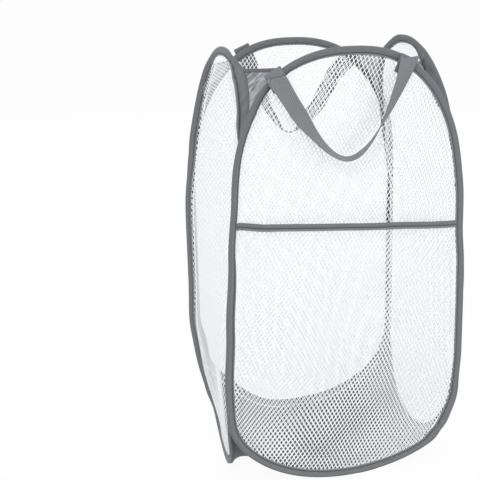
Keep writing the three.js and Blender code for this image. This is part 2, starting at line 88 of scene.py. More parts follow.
# How the cloth departs from the plain loops, by wall and by the side of it as seen from outside,
# where 1 is its right. Each list gives heights and amounts, eased from one to the next: turn is the
# tape's turn about its wire, where + takes its lip out, shift moves a side wall in or another wall
# to its right, and wider is what the tape gains in width, as a share of it.
EDGES = {
    ("front", -1): dict(
        turn=[(0.28, 0), (0.36, -0.6), (0.585, -0.6), (0.605, -0.25)],
        shift=[(0.02, -0.004), (0.10, -0.0120), (0.16, -0.0135), (0.24, -0.0095), (0.34, -0.0040),
               (0.42, 0.0012), (0.52, 0.0015), (0.56, -0.0015), (0.60, 0)],
    ),
    ("front", 1): dict(
        shift=[(0.002, 0.008), (0.03, 0.0100), (0.05, 0.0034), (0.08, -0.0012), (0.12, -0.0014),
               (0.17, 0.0014), (0.24, 0.0014), (0.30, 0.0008), (0.36, -0.0030), (0.43, -0.0030),
               (0.50, 0)],
        wider=[(0.02, 0), (0.06, 0.2), (0.10, 0.2), (0.14, 0)],
    ),
    ("back", -1): dict(
        turn=[(0.08, 0), (0.14, -0.5), (0.42, -0.5), (0.48, 0)],
        shift=[(0.30, 0), (0.40, -0.002), (0.50, -0.003), (0.58, 0)],
    ),
    ("back", 1): dict(shift=[(0.0, -0.026), (0.05, -0.026), (0.12, -0.011), (0.18, 0)]),
    ("left", 1): dict(
        turn=[(0.06, 0), (0.12, -0.6), (0.46, -0.6), (0.53, 1.35), (0.585, 1.35), (0.607, 0)],
        shift=[(0.02, 0.001), (0.10, -0.0050), (0.16, -0.0063), (0.24, -0.0022), (0.34, 0.0035),
               (0.38, 0.0050), (0.46, 0.0055), (0.535, 0.0180), (0.585, 0.0180), (0.607, 0)],
        wider=[(0.48, 0), (0.535, 0.5), (0.585, 0.5), (0.605, 0)],
    ),
    ("left", -1): dict(
        turn=[(0.004, 0), (0.03, -0.8), (0.12, -0.8), (0.18, -0.5), (0.40, -0.5),
              (0.47, -0.85), (0.575, -0.85), (0.605, 0)],
        shift=[(0.0, 0), (0.03, 0.001), (0.06, -0.003), (0.10, -0.0045), (0.16, -0.003),
               (0.24, 0), (0.42, 0), (0.47, -0.003), (0.575, -0.003), (0.605, 0)],
        wider=[(0.01, 0), (0.035, 0.25), (0.10, 0.25), (0.16, 0)],
    ),
    ("right", -1): dict(
        turn=[(0.50, 0), (0.54, -1.0), (0.59, -1.0), (0.609, 0)],
        shift=[(0.06, 0), (0.12, 0.0060), (0.18, 0.0035), (0.28, 0.0010), (0.35, 0.0060),
               (0.40, 0.0045), (0.46, 0), (0.54, -0.0055), (0.59, -0.0045), (0.608, 0)],
        wider=[(0.50, 0), (0.54, 0.9), (0.59, 0.9), (0.609, 0)],
    ),
    ("right", 1): dict(
        turn=[(0.08, 0), (0.14, -0.5), (0.42, -0.5), (0.48, 0)],
        shift=[(0.05, 0.003), (0.14, 0.0065), (0.40, 0.0065), (0.50, 0.008), (0.585, 0.011),
               (0.608, 0)],
    ),
}


# Camera
def make_camera():
    azimuth, elevation, distance = math.radians(-19.557), math.radians(15.74), 1.4995
    size, focal, cx, cy, roll = 480, 1008.7, 320.8, 248.9, -0.33  # pixels, and degrees
    back = Vector((math.sin(azimuth) * math.cos(elevation),
                   -math.cos(azimuth) * math.cos(elevation), math.sin(elevation)))
    data = bpy.data.cameras.new("camera")
    data.sensor_width = 36
    data.lens = focal / size * data.sensor_width
    data.shift_x = (size / 2 - cx) / size
    data.shift_y = (cy - size / 2) / size
    data.clip_start, data.clip_end = 0.05, 100
    camera = bpy.data.objects.new("camera", data)
    bpy.context.scene.collection.objects.link(camera)
    camera.location = Vector((0, 0, 0.306)) + back * distance
    turn = (-back).to_track_quat("-Z", "Y").to_matrix().to_4x4()
    turn = turn @ Matrix.Rotation(math.radians(roll), 4, "Z")
    camera.matrix_world = Matrix.Translation(camera.location) @ turn
    bpy.context.scene.camera = camera


make_camera()


# Shared shapes
def smoothstep(x, low, high):
    t = np.clip((x - low) / (high - low), 0, 1)
    return t * t * (3 - 2 * t)


def unit(vectors):
    return vectors / np.linalg.norm(vectors, axis=-1, keepdims=True)


def spread(down, across):
    """Two coordinates for every point of a grid: one by its row, one by its column."""
    return np.stack([np.repeat(down, len(across)), np.tile(across, len(down))], -1)


def eased(x, width):
    """The positive part of x, rounded where it starts."""
    return (x + np.sqrt(x**2 + width**2)) / 2


def edge_depth(half, across, up):
    """About how deep points lie inside a loop's outer edge, and which way is inward."""
    high, low = up > ARCH_FOOT, up < BOTTOM_ARCH
    power = np.where(high, TOP_POWER, BOTTOM_POWER)
    rise = np.where(high, TOP_ARCH, BOTTOM_ARCH)
    a = np.abs(across) / half
    h = np.where(high, up - ARCH_FOOT, np.where(low, BOTTOM_ARCH - up, 0)) / rise
    reach = np.maximum((a**power + h**power) ** (1 / power), 1e-6)
    slope_across = np.sign(across) * (a / reach) ** (power - 1) / half
    slope_up = np.where(high, 1, -1) * (h / reach) ** (power - 1) / rise
    slope = np.hypot(slope_across, slope_up)
    return (1 - reach) / slope, -slope_across / slope, -slope_up / slope


def eased_steps(up, steps):
    """A value that goes smoothly from one height's amount to the next one's."""
    value = np.full(np.shape(up), float(steps[0][1]))
    for (low, before), (high, after) in zip(steps, steps[1:]):
        value = value + (after - before) * smoothstep(up, low, high)
    return value


def departure(wall, kind, across, up):
    """How much the cloth departs from the plain loop at points of a wall."""
    total = np.zeros(np.broadcast(across, up).shape)
    for side in (-1, 1):
        steps = EDGES.get((wall, side), {}).get(kind)
        if steps:
            near = smoothstep(side * across / PANELS[wall][0], 0.1, 0.8)
            total = total + near * eased_steps(up, steps)
    return total


def curled(wall, across, up, out):
    """Turns the edge of a wall about its wire, with the net behind it following."""
    angle = departure(wall, "turn", across, up)
    depth, in_across, in_up = edge_depth(PANELS[wall][0], across, up)
    near = np.minimum(depth, TURNED) - TUBE
    deeper = near * (np.cos(angle) - 1) - out * np.sin(angle)
    farther = near * np.sin(angle) + out * (np.cos(angle) - 1)
    fade = 1 - smoothstep(depth, TURNED, SETTLED)
    return (across + in_across * deeper * fade, up + in_up * deeper * fade, out + farther * fade)


def wall_point(wall, across, up, out):
    """A point of a wall seen from outside: across to the right, up, and out to the viewer."""
    half, distance, turn = PANELS[wall]
    across, up, out = np.broadcast_arrays(*(np.asarray(v, float) for v in (across, up, out)))
    shift = departure(wall, "shift", across, up)
    across, up, out = curled(wall, across, up, out)
    inward = 0.0
    if wall in SIDES:
        side = SIDES[wall]
        draw = side["draw"] + side["slant"] * side["ahead"] * across / half
        inward = shift + side["lean"] * eased((up - ARCH_FOOT) / TOP_ARCH, 0.08)
        inward = inward + draw * eased(1 - up / side["drawn"], 0.15)
    else:
        skew = smoothstep(up, 0.40, 0.50) * (1 - smoothstep(up, 0.58, HEIGHT))
        across = across + shift - FRONT_SKEW * skew
    up = up + TALLER[wall] * smoothstep(up, 0.44, HEIGHT)
    y = inward - distance - out
    c, s = math.cos(turn), math.sin(turn)
    return np.stack([across * c - y * s, across * s + y * c, up], -1)


def arch_points(half, arch, angles):
    foot, rise, power, way = ARCHES[arch]
    c, s = np.cos(angles), np.sin(angles)
    across = half * np.sign(c) * np.abs(c) ** (2 / power)
    up = foot + way * rise * np.abs(s) ** (2 / power)
    return np.stack([across, up], -1)


def loop_line(half, spacing):
    """Even stations along the outer edge of a loop, from the middle of its base up the right side.
    Returns the points, the directions that point inward and the lengths along the loop."""
    quarter = np.linspace(0, math.pi / 2, 900)
    right = arch_points(half, "bottom", quarter[::-1])
    top = arch_points(half, "top", np.linspace(0, math.pi, 1800))
    left = arch_points(half, "bottom", math.pi - quarter)
    line = np.concatenate([right, top, left[:-1], right[:1]])
    steps = np.linalg.norm(np.diff(line, axis=0), axis=1)
    line = line[np.concatenate([[True], steps > 1e-9])]
    along = np.concatenate([[0], np.cumsum(np.linalg.norm(np.diff(line, axis=0), axis=1))])
    count = int(round(along[-1] / spacing))
    places = np.arange(count) * along[-1] / count
    points = np.stack([np.interp(places, along, line[:, k]) for k in range(2)], -1)
    tangent = unit(np.roll(points, -1, 0) - np.roll(points, 1, 0))
    return points, np.stack([-tangent[:, 1], tangent[:, 0]], -1), places


def inside_loop(half, across, up, depth):
    """Whether points lie inside a loop by at least a depth."""
    a = np.abs(across) / (half - depth)
    low = np.clip((BOTTOM_ARCH - up) / (BOTTOM_ARCH - depth), 0, None)
    high = np.clip((up - ARCH_FOOT) / (TOP_ARCH - depth), 0, None)
    return np.where(up < BOTTOM_ARCH, a**BOTTOM_POWER + low**BOTTOM_POWER,
                    a**TOP_POWER + high**TOP_POWER) < 1


class Waves:
    """A smooth seeded field: a sum of plane waves, about -1 to 1."""

    def __init__(self, seed, size, count=9):
        r = np.random.default_rng(seed)
        angle = r.uniform(0, 2 * math.pi, count)
        rate = 2 * math.pi / size * r.uniform(0.6, 1.5, count)
        self.k = np.stack([np.cos(angle) * rate, np.sin(angle) * rate], -1)
        self.phase = r.uniform(0, 2 * math.pi, count)
        self.share = 1.6 / count

    def __call__(self, x, y):
        x, y = np.asarray(x, float), np.asarray(y, float)
        total = 0
        for (kx, ky), phase in zip(self.k, self.phase):
            total = total + np.sin(kx * x + ky * y + phase)
        return total * self.share


def make_mesh(name, points, faces, material, uv=None, smooth=True):
    mesh = bpy.data.meshes.new(name)
    faces = faces.tolist() if isinstance(faces, np.ndarray) else faces
    mesh.from_pydata(points.tolist(), [], faces)
    if uv is not None:
        layer = mesh.uv_layers.new(name="Cloth")
        loops = np.empty(len(mesh.loops), np.int32)
        mesh.loops.foreach_get("vertex_index", loops)
        layer.data.foreach_set("uv", np.asarray(uv, np.float32)[loops].ravel())
    mesh.polygons.foreach_set("use_smooth", np.full(len(mesh.polygons), smooth))
    mesh.materials.append(material)
    mesh.update()
    piece = bpy.data.objects.new(name, mesh)
    bpy.context.scene.collection.objects.link(piece)
    return piece


def mend(piece, distance=0.0):
    """Turns all faces out, after points closer than the distance are joined."""
    bm = bmesh.new()
    bm.from_mesh(piece.data)
    if distance:
        bmesh.ops.remove_doubles(bm, verts=bm.verts, dist=distance)
    bmesh.ops.recalc_face_normals(bm, faces=bm.faces)
    bm.to_mesh(piece.data)
    bm.free()


def grid_faces(rows, columns, closed_rows=False, closed_columns=False):
    """Quads over rows by columns of points, numbered row by row."""
    r = np.arange(rows if closed_rows else rows - 1)
    c = np.arange(columns if closed_columns else columns - 1)
    r, c = np.meshgrid(r, c, indexing="ij")
    r2, c2 = (r + 1) % rows, (c + 1) % columns
    return np.stack([r * columns + c, r * columns + c2, r2 * columns + c2, r2 * columns + c],
                    -1).reshape(-1, 4)


def tube(name, rings, material, uv):
    """A closed body through rows of rings, with flat ends."""
    rows, columns = rings.shape[:2]
    faces = grid_faces(rows, columns, False, True).tolist()
    faces += [list(range(columns))[::-1], [(rows - 1) * columns + k for k in range(columns)]]
    return make_mesh(name, rings.reshape(-1, 3), faces, material, uv)


def folded(depth, out, edge=0.0):
    """A folded tape's whole section: one face from its lip, the folded edge, and the other face."""
    return (np.concatenate([depth, [edge], depth[::-1]]),
            np.concatenate([out, [0.0], -out[::-1]]))


def outward(points, faces):
    """The same faces turned so that the closed body faces out."""
    a, b, c = (points[faces[:, k]] for k in (0, 1, 2))
    volume = (a * np.cross(b, c)).sum()
    if faces.shape[1] == 4:
        volume += (a * np.cross(c, points[faces[:, 3]])).sum()
    return faces[:, ::-1].copy() if volume < 0 else faces


# Materials
class Nodes:
    """A short way to build the node tree of a material or a world."""

    def __init__(self, owner, shader="Principled BSDF"):
        owner.use_nodes = True
        self.owner, self.tree = owner, owner.node_tree
        self.shader = self.tree.nodes[shader]

    def set(self, node, key, value):
        if isinstance(value, bpy.types.NodeSocket):
            self.tree.links.new(value, node.inputs[key])
        else:
            node.inputs[key].default_value = value

    def add(self, kind, settings=None, **inputs):
        node = self.tree.nodes.new("ShaderNode" + kind)
        for key, value in (settings or {}).items():
            setattr(node, key, value)
        for key, value in inputs.items():
            self.set(node, key, value)
        return node

    def two(self, kind, a, b, **settings):
        node = self.add(kind, settings)
        self.set(node, 0, a)
        self.set(node, 1, b)
        return node.outputs

    def math(self, operation, a, b=0.0, clamp=False):
        return self.two("Math", a, b, operation=operation, use_clamp=clamp)[0]

    def near(self, value, centre, width):
        """1 where a value meets the centre, falling to 0 a width away from it."""
        off = self.math("ABSOLUTE", self.math("SUBTRACT", value, centre))
        return self.math("SUBTRACT", 1.0, self.math("DIVIDE", off, width), clamp=True)

    def more(self, low, factor, amount):
        return self.math("ADD", low, self.math("MULTIPLY", factor, amount))

    def scaled(self, vector, scale):
        return self.two("VectorMath", vector, scale, operation="MULTIPLY")[0]

    def dot(self, vector, other):
        return self.two("VectorMath", vector, other, operation="DOT_PRODUCT")["Value"]

    def uv(self, *scale):
        return self.scaled(self.add("UVMap", dict(uv_map="Cloth")).outputs[0], scale)

    def place(self, *scale):
        scale = scale * 3 if len(scale) == 1 else scale
        return self.scaled(self.add("TexCoord").outputs["Object"], scale)

    def noise(self, vector, detail):
        node = self.add("TexNoise", Vector=vector, Scale=1.0, Detail=detail, Roughness=0.55)
        return node.outputs["Fac"]

    def bands(self, vector, direction="X"):
        settings = dict(wave_type="BANDS", bands_direction=direction)
        return self.add("TexWave", settings, Vector=vector, Scale=1.0).outputs["Fac"]

    def threads(self, along, over):
        """The bands of a cloth's two sets of threads, with the widths of one thread of each."""
        return self.bands(self.uv(per(along), 0, 0)), self.bands(self.uv(0, per(over), 0), "Y")

    def mix(self, factor, a, b):
        node = self.add("Mix", dict(data_type="RGBA"))
        for key, value in ((0, factor), (6, a), (7, b)):
            self.set(node, key, (*value, 1) if isinstance(value, list) else value)
        return node.outputs[2]

    def tint(self, base, factor, amount, colour, scale):
        """The base colour, mixed by a share of a factor with a darker or paler main colour."""
        return self.mix(self.math("MULTIPLY", factor, amount), base, shade(colour, scale))

    def bump(self, height, distance, strength, normal=None):
        inputs = {} if normal is None else {"Normal": normal}
        node = self.add("Bump", Height=height, Strength=strength, Distance=distance, **inputs)
        return node.outputs[0]

    def finish(self, base, roughness, normal, specular=0.5, sheen=0.0):
        values = {"Base Color": base, "Roughness": roughness, "Normal": normal,
                  "Specular IOR Level": specular, "Sheen Weight": sheen}
        for key, value in values.items():
            self.set(self.shader, key, value)
        return self.owner

    def show(self, seen, share, output):
        """Gives the rays that see the backdrop a shader of their own, by a share."""
        rays = self.add("LightPath").outputs
        some = self.math("MAXIMUM", rays["Is Camera Ray"], rays["Is Glossy Ray"])
        some = self.math("MAXIMUM", some, rays["Is Transmission Ray"])
        mix = self.add("MixShader", Fac=self.math("MULTIPLY", some, share))
        self.set(mix, 1, self.shader.outputs[0])
        self.set(mix, 2, seen.outputs[0])
        self.tree.links.new(mix.outputs[0], self.tree.nodes[output].inputs[0])


def new_material(name):
    return Nodes(bpy.data.materials.new(name))


def shade(colour, scale):
    """A colour made darker or paler."""
    return [min(1, c * scale) for c in colour]


def per(length):
    """The scale that puts one band of a wave texture in a length."""
    return 0.314159 / length


def tape_material(name, colour, painted_shading=True):
    n = new_material(name)
    weave = n.math("MULTIPLY", *n.threads(0.0011, 0.0008))
    patches, fine = n.noise(n.place(60), 4), n.noise(n.place(900), 2)
    base = n.tint(shade(colour, 0.90), patches, 0.55, colour, 1.16)
    base = n.tint(base, weave, 0.25, colour, 0.72)
    base = n.tint(base, fine, 0.18, colour, 1.35)
    if painted_shading:
        # the second coordinate runs over the tape from its folded edge: painted shade as a dark
        # line along the stitched groove, a paler lip, and a painted highlight as a pale band on the
        # tape's crown
        over = n.add("SeparateXYZ", Vector=n.uv(1, 1, 1)).outputs[1]
        base = n.tint(base, n.near(over, STITCH_LINE, 0.0011), 0.9, colour, 0.18)
        base = n.tint(base, n.math("GREATER_THAN", over, 0.0103), 0.55, colour, 1.7)
        base = n.tint(base, n.near(over, 0.0052, 0.0030), 0.45, colour, 1.35)
    normal = n.bump(patches, 0.0006, 0.5, n.bump(weave, 0.00012, 0.7))
    return n.finish(base, n.more(0.66, patches, 0.2), normal, 0.35, 0.12)


def cloth_material(name, colour, sheen, rough, painted_fold_shade=0.0):
    n = new_material(name)
    weave = n.math("MAXIMUM", *n.threads(0.0007, 0.0007))
    patches, streaks = n.noise(n.place(35), 5), n.noise(n.uv(40, 260, 1), 3)
    base = n.mix(patches, shade(colour, 0.84), shade(colour, 1.2))
    base = n.tint(base, weave, 0.3, colour, 0.78)
    base = n.tint(base, streaks, 0.22, colour, 1.5)
    if painted_fold_shade:
        # painted shade for the pressed folds that slant down the gusset: dark lines along the
        # folds, and darker fields between them
        over, on = n.dot(n.place(1), (86, -26, -94)), n.dot(n.place(1), (9, -5, 10))
        fields = n.noise(n.add("CombineXYZ", X=over, Y=on).outputs[0], 1)
        dark = n.math("MULTIPLY", n.math("SUBTRACT", fields, 0.38), 3.2, clamp=True)
        base = n.tint(base, dark, painted_fold_shade * 0.55, colour, 0.42)
        base = n.tint(base, n.near(fields, 0.5, 0.045), painted_fold_shade, colour, 0.22)
    normal = n.bump(patches, 0.0012, 0.6, n.bump(weave, 0.00008, 0.6))
    return n.finish(base, n.more(rough - 0.1, patches, 0.2), normal, 0.5, sheen)


def webbing_material(name, colour):
    n = new_material(name)
    twill = n.bands(n.uv(per(0.0014), per(0.0029), 0), "DIAGONAL")
    yarns = n.bands(n.uv(0, per(0.0008), 0), "Y")
    patches = n.noise(n.place(50), 4)
    height = n.more(n.math("MULTIPLY", twill, 0.75), yarns, 0.25)
    base = n.mix(patches, shade(colour, 0.92), shade(colour, 1.12))
    base = n.tint(base, n.math("SUBTRACT", 1.0, height), 0.75, colour, 0.45)
    return n.finish(base, n.more(0.66, patches, 0.15), n.bump(height, 0.00030, 0.9), 0.3, 0.15)


def net_material(name, colour):
    n = new_material(name)
    yarn, patches = n.noise(n.place(2600), 2), n.noise(n.place(18), 3)
    base = n.tint(n.mix(patches, shade(colour, 0.97), shade(colour, 1)), yarn, 0.12, colour, 0.82)
    return n.finish(base, n.more(0.55, yarn, 0.2), n.bump(yarn, 0.0001, 0.5), 0.3)


def steel_material(name):
    n = new_material(name)
    drawn = n.noise(n.place(40, 40, 900), 3)
    base = n.mix(drawn, [0.38, 0.39, 0.40], [0.52, 0.53, 0.54])
    n.set(n.shader, "Metallic", 1.0)
    return n.finish(base, n.more(0.25, drawn, 0.25), n.bump(drawn, 0.0001, 0.3))


GREY = (0.137, 0.142, 0.149)
tape = tape_material("binding tape", GREY)
edge_tape = tape_material("edge tape", shade(GREY, 0.85), painted_shading=False)
# the base's dark grey fabric, its colour darkened further as painted shade of the hamper's shadowed
# inside
base_cloth_painted_shade = cloth_material("grey fabric", shade(GREY, 0.40), 0.12, 0.6)
gusset_cloth = cloth_material("gusset fabric", shade(GREY, 3.1), 0.3, 0.34, painted_fold_shade=0.9)
webbing = webbing_material("twill webbing", shade(GREY, 1.6))
net_white = net_material("white net", (0.90, 0.905, 0.92))
thread = cloth_material("thread", shade(GREY, 0.6), 0.1, 0.6)
steel = steel_material("spring steel")


# Bindings and wires
# Where the end of each tape laps over its start, along the loop from the middle of its foot
TAPE_ENDS = {"front": 0.012, "right": 0.02, "back": -0.03, "left": 0.05}


def edge_points(wall, line, inward, depth, out):
    """Points at depths behind places on a loop's edge, and out of the wall."""
    p = line[..., None, :] + inward[..., None, :] * depth[..., None]
    return wall_point(wall, p[..., 0], p[..., 1], out).reshape(-1, 3)


def binding_profile():
    """One half of the tape's section, from its folded edge to its lip: how deep it lies in the
    wall and how far out of it."""
    narrows, flat = 0.0056, 0.00125  # how far behind the fold it gets flat, and how thick it is
    groove_deep, groove_wide = 0.00055, 0.00045
    depth = np.concatenate([
        TUBE * (1 - np.cos(np.linspace(0.12, math.pi / 2, 7))),
        [0.0037, 0.0046, 0.0056, 0.0067, 0.0077, 0.0084, 0.0089, STITCH_LINE, 0.0095, 0.0100,
         0.0106, 0.0113, 0.0118, 0.0120],
    ])
    out = np.where(depth < TUBE, np.sqrt(np.clip(TUBE**2 - (TUBE - depth) ** 2, 0, None)), 0)
    fall = flat + (TUBE - flat) * (0.5 + 0.5 * np.cos(math.pi * (depth - TUBE) / narrows))
    out = np.where(depth >= TUBE, np.where(depth < TUBE + narrows, fall, flat), out)
    out = out - groove_deep * np.exp(-(((depth - STITCH_LINE) / groove_wide) ** 2))
    out[-3:] = [0.00118, 0.00095, 0.00055]
    return depth, out


def make_binding(wall):
    station, pucker_deep, swell_deep, lap_thick = 0.0028, 0.00042, 0.00018, 0.0006
    line, inward, along = loop_line(PANELS[wall][0], station)
    total = along[-1] + along[1]
    depth, out = binding_profile()
    section_depth, section_out = folded(depth[::-1], out[::-1])
    seed = list(PANELS).index(wall)
    coarse, fine, broad = Waves(10 + seed, 0.11), Waves(20 + seed, 0.016), Waves(30 + seed, 0.3)
    s, d, face = along[:, None], section_depth[None, :], np.sign(section_out)[None, :]
    bend = np.linalg.norm(np.roll(inward, -4, 0) - np.roll(inward, 4, 0), axis=1)
    bend = np.convolve(np.concatenate([bend[-9:], bend, bend[:9]]), np.ones(19) / 19, "valid")
    curved = np.clip(bend / 0.12, 0.12, 1)[:, None]
    # diagonal puckers, where the tape is drawn in on the curves
    widening = departure(wall, "wider", line[:, :1], line[:, 1:])
    pucker = fine(s + face * 0.37, d * 2.2 + s * 0.55) * pucker_deep * (curved + 8 * widening)
    pucker = pucker * smoothstep(d, 0.002, 0.006) * (1 - smoothstep(d, 0.0085, STITCH_LINE) * 0.5)
    swell = coarse(s + face * 0.2, d * 3) * swell_deep
    # the slanted end of the tape, over its start
    slant = (s - (TAPE_ENDS[wall] % total)) - 0.35 * (d - 0.006)
    over = smoothstep(slant, 0.0, 0.0012) * (1 - smoothstep(slant, 0.026, 0.030))
    wide = 1 + 0.035 * broad(s, 0 * s) + 0.03 * over
    wide = wide + widening * (1 + 0.16 * fine(s * 0.5, 0 * s))
    o = section_out[None, :] + face * (pucker + swell + lap_thick * over)
    points = edge_points(wall, line, inward, d * wide, o)
    # the lip side is closed over the net
    first = np.arange(len(line)) * section_depth.size
    last = first + section_depth.size - 1
    close = np.stack([last, first, np.roll(first, -1), np.roll(last, -1)], -1)
    faces = np.concatenate([grid_faces(len(line), section_depth.size, True, False), close])
    piece = make_mesh(f"{wall}_loop_binding", points, outward(points, faces), tape,
                      spread(along, np.abs(section_depth)))
    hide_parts(f"{wall}_binding")
    return piece, line, inward, along


def make_wire(wall, line, inward):
    line, inward = line[2:-2], inward[2:-2]
    rows, around = len(line), 8
    turn = np.linspace(0, 2 * math.pi, around + 1)[:-1]
    points = edge_points(wall, line + inward * TUBE, inward, WIRE * np.cos(turn),
                         WIRE * np.sin(turn))
    ends = points.reshape(rows, around, 3)
    points = np.concatenate([points, ends[:1].mean(1), ends[-1:].mean(1)])
    # each end is closed with triangles round its middle
    count, last_row = rows * around, (rows - 1) * around
    after = [*range(1, around), 0]
    first = [[count, after[k], k] for k in range(around)]
    last = [[count + 1, last_row + k, last_row + after[k]] for k in range(around)]
    faces = grid_faces(rows, around, False, True).tolist() + first + last
    piece = make_mesh(f"{wall}_spring_wire", points, faces, steel)
    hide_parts(f"{wall}_wire")
    return piece


def make_ferrule(wall):
    """A crimped sleeve, turned about the wire at the middle of the loop's foot."""
    around = 16
    turn = np.linspace(0, 2 * math.pi, around + 1)[:-1]
    # radius and place along the wire, from one end to the middle, and mirrored from there
    profile = [(0.00130, -0.0080), (0.00150, -0.0081), (0.00165, -0.0078), (0.00165, -0.0030),
               (0.00145, -0.0024), (0.00145, -0.0016), (0.00165, -0.0010)]
    profile += [(radius, -x) for radius, x in profile[::-1]]
    points = np.concatenate([
        wall_point(wall, np.full(around, x), TUBE + radius * np.cos(turn), radius * np.sin(turn))
        for radius, x in profile
    ])
    faces = outward(points, grid_faces(len(profile), around, True, True))
    piece = make_mesh(f"{wall}_wire_ferrule", points, faces, steel)
    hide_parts(f"{wall}_ferrule")
    return piece


def make_stitches(wall, line, inward, along):
    """A row of stitches in the groove of the binding, on its outer and inner face."""
    pitch, long, thick, raised = 0.0034, 0.0024, 0.00030, 0.00085
    total = along[-1] + along[1]
    count = int(total / pitch)
    s = np.arange(count) * total / count
    closed = np.concatenate([along, [total]])
    line, inward = np.concatenate([line, line[:1]]), np.concatenate([inward, inward[:1]])
    points, faces = [], []
    # one stitch: four rings of four points, thinner at its two ends
    t = np.array([-0.5, -0.3, 0.3, 0.5]) * long
    radius = np.array([0.35, 1.0, 1.0, 0.35])[:, None] * thick
    turn = np.array([0.25, 0.75, 1.25, 1.75]) * math.pi
    one = np.concatenate([grid_faces(4, 4, False, True), [[3, 2, 1, 0], [12, 13, 14, 15]]])
    places = (s[:, None] + t) % total
    at, way = (np.stack([np.interp(places, closed, of[:, k]) for k in range(2)], -1)
               for of in (line, inward))
    for face in (1, -1):
        points.append(edge_points(wall, at, way, STITCH_LINE + radius * np.cos(turn),
                                  face * (raised + radius * np.sin(turn))))
        starts = 16 * (np.arange(count) + count * len(faces))
        faces.append((one[:, ::face] + starts[:, None, None]).reshape(-1, 4))
    return make_mesh(f"{wall}_binding_stitches", np.concatenate(points), np.concatenate(faces),
                     thread)


# Nets: the diamonds' width and height, how large a share of it their holes take each way, and how
# thick the yarn is
NET_ACROSS, NET_UP = 0.0060, 0.0094
NET_GAP = 0.82
NET_THICK = 0.00036
NET_EDGE = 0.0085  # how far from a loop's edge a wall's net ends, under the tape
# How each wall's net lies turned in its loop
NET_TURNS = {"front": -0.17, "right": 0.05, "back": 0.08, "left": -0.04}
LEAST_AREA = 0.302  # the least share of its flat size that a net's yarn is given as


def net_piece(name, allowed, place, box, shift=(0.0, 0.0), turn=0.0):
    """A net of diamond gaps over the part of a flat box where the test allows it, put in space by
    place(across, up, out). Returns the piece and the net's flat area without its gaps."""
    a, b = NET_ACROSS / 2, NET_UP / 2
    (x0, z0), (x1, z1) = box
    reach = math.hypot(x1 - x0, z1 - z0) / 2
    i, j = (np.arange(-int(reach / step) - 2, int(reach / step) + 3) for step in (a, b))
    i, j = (g.ravel() for g in np.meshgrid(i, j, indexing="ij"))
    even = (i + j) % 2 == 0
    i, j = i[even], j[even]
    c, s = math.cos(turn), math.sin(turn)

    def flat(i, j):
        return np.stack([
            (x0 + x1) / 2 + i * a * c - j * b * s + shift[0],
            (z0 + z1) / 2 + i * a * s + j * b * c + shift[1],
        ], -1)

    middle = flat(i, j)
    good = allowed(middle[:, 0], middle[:, 1])
    i, j, middle = i[good], j[good], middle[good]
    around = [(1, 0), (0, 1), (-1, 0), (0, -1)]
    corner_keys = np.stack([np.stack([i + x, j + y], -1) for x, y in around], 1)
    keys, index = np.unique(corner_keys.reshape(-1, 2), axis=0, return_inverse=True)
    index = index.reshape(-1, 4)
    outer = flat(keys[:, 0], keys[:, 1])
    inner = middle[:, None, :] + NET_GAP * (outer[index] - middle[:, None, :])
    cells = len(middle)
    net = np.concatenate([outer, inner.reshape(-1, 2)])
    count = len(net)
    hole = len(outer) + np.arange(cells * 4).reshape(-1, 4)
    following = [1, 2, 3, 0]
    front = np.stack([index, index[:, following], hole[:, following], hole], -1).reshape(-1, 4)
    walls = np.stack([hole, hole[:, following], hole[:, following] + count, hole + count], -1)
    # the rim, where a cell has no neighbour
    edge = np.stack([index, index[:, following]], -1).reshape(-1, 2)
    _, where, uses = np.unique(np.sort(edge, 1), axis=0, return_inverse=True, return_counts=True)
    a_side, b_side = edge[uses[where.ravel()] == 1].T
    rim = np.stack([b_side, a_side, a_side + count, b_side + count], -1)
    points = np.concatenate([place(net[:, 0], net[:, 1], lift)
                             for lift in (NET_THICK / 2, -NET_THICK / 2)])
    faces = np.concatenate([front, front[:, ::-1] + count, walls.reshape(-1, 4), rim])
    piece = make_mesh(name, points, outward(points, faces), net_white, smooth=False)
    area = cells * 2 * a * b * (1 - NET_GAP**2)
    return piece, max(area, LEAST_AREA * (x1 - x0) * (z1 - z0))


def wall_net(wall):
    half = PANELS[wall][0]
    seed = list(PANELS).index(wall)
    slack, slack_deep = Waves(40 + seed, 0.16), 0.0012

    def place(across, up, out):
        free = np.clip(4 * (1 - np.abs(across) / half), 0, 1)
        free = free * smoothstep(up, 0.0, 0.09) * (1 - smoothstep(up, 0.52, 0.60))
        return wall_point(wall, across, up, out + slack_deep * free * slack(across, up))

    piece, area = net_piece(
        f"{wall}_mesh", lambda x, z: inside_loop(half, x, z, NET_EDGE), place,
        ((-half, 0), (half, HEIGHT)), (0.0011 * seed, 0.0007 * seed), NET_TURNS[wall],
    )
    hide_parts(f"{wall}_net")
    return piece


# Pocket
POCKET_HALF = FRONT_HALF - LIP
POCKET_LEFT, POCKET_RIGHT, POCKET_CROWN, POCKET_BULGE, HEM = 0.390, 0.365, 0.002, 0.012, 0.010


def hem_height(across):
    share = across / FRONT_HALF
    middle = (POCKET_LEFT + POCKET_RIGHT) / 2
    return middle + (POCKET_RIGHT - POCKET_LEFT) * share / 2 + POCKET_CROWN * (1 - share**2)


def pocket_out(across, up):
    rise = smoothstep(up, 0.05, hem_height(across) - HEM)
    dome = np.clip(1 - (across / POCKET_HALF) ** 2, 0, None)
    free = smoothstep(edge_depth(FRONT_HALF, across, up)[0], 0.0115, 0.026)
    return 0.0004 + (0.0016 + POCKET_BULGE * rise * dome) * free


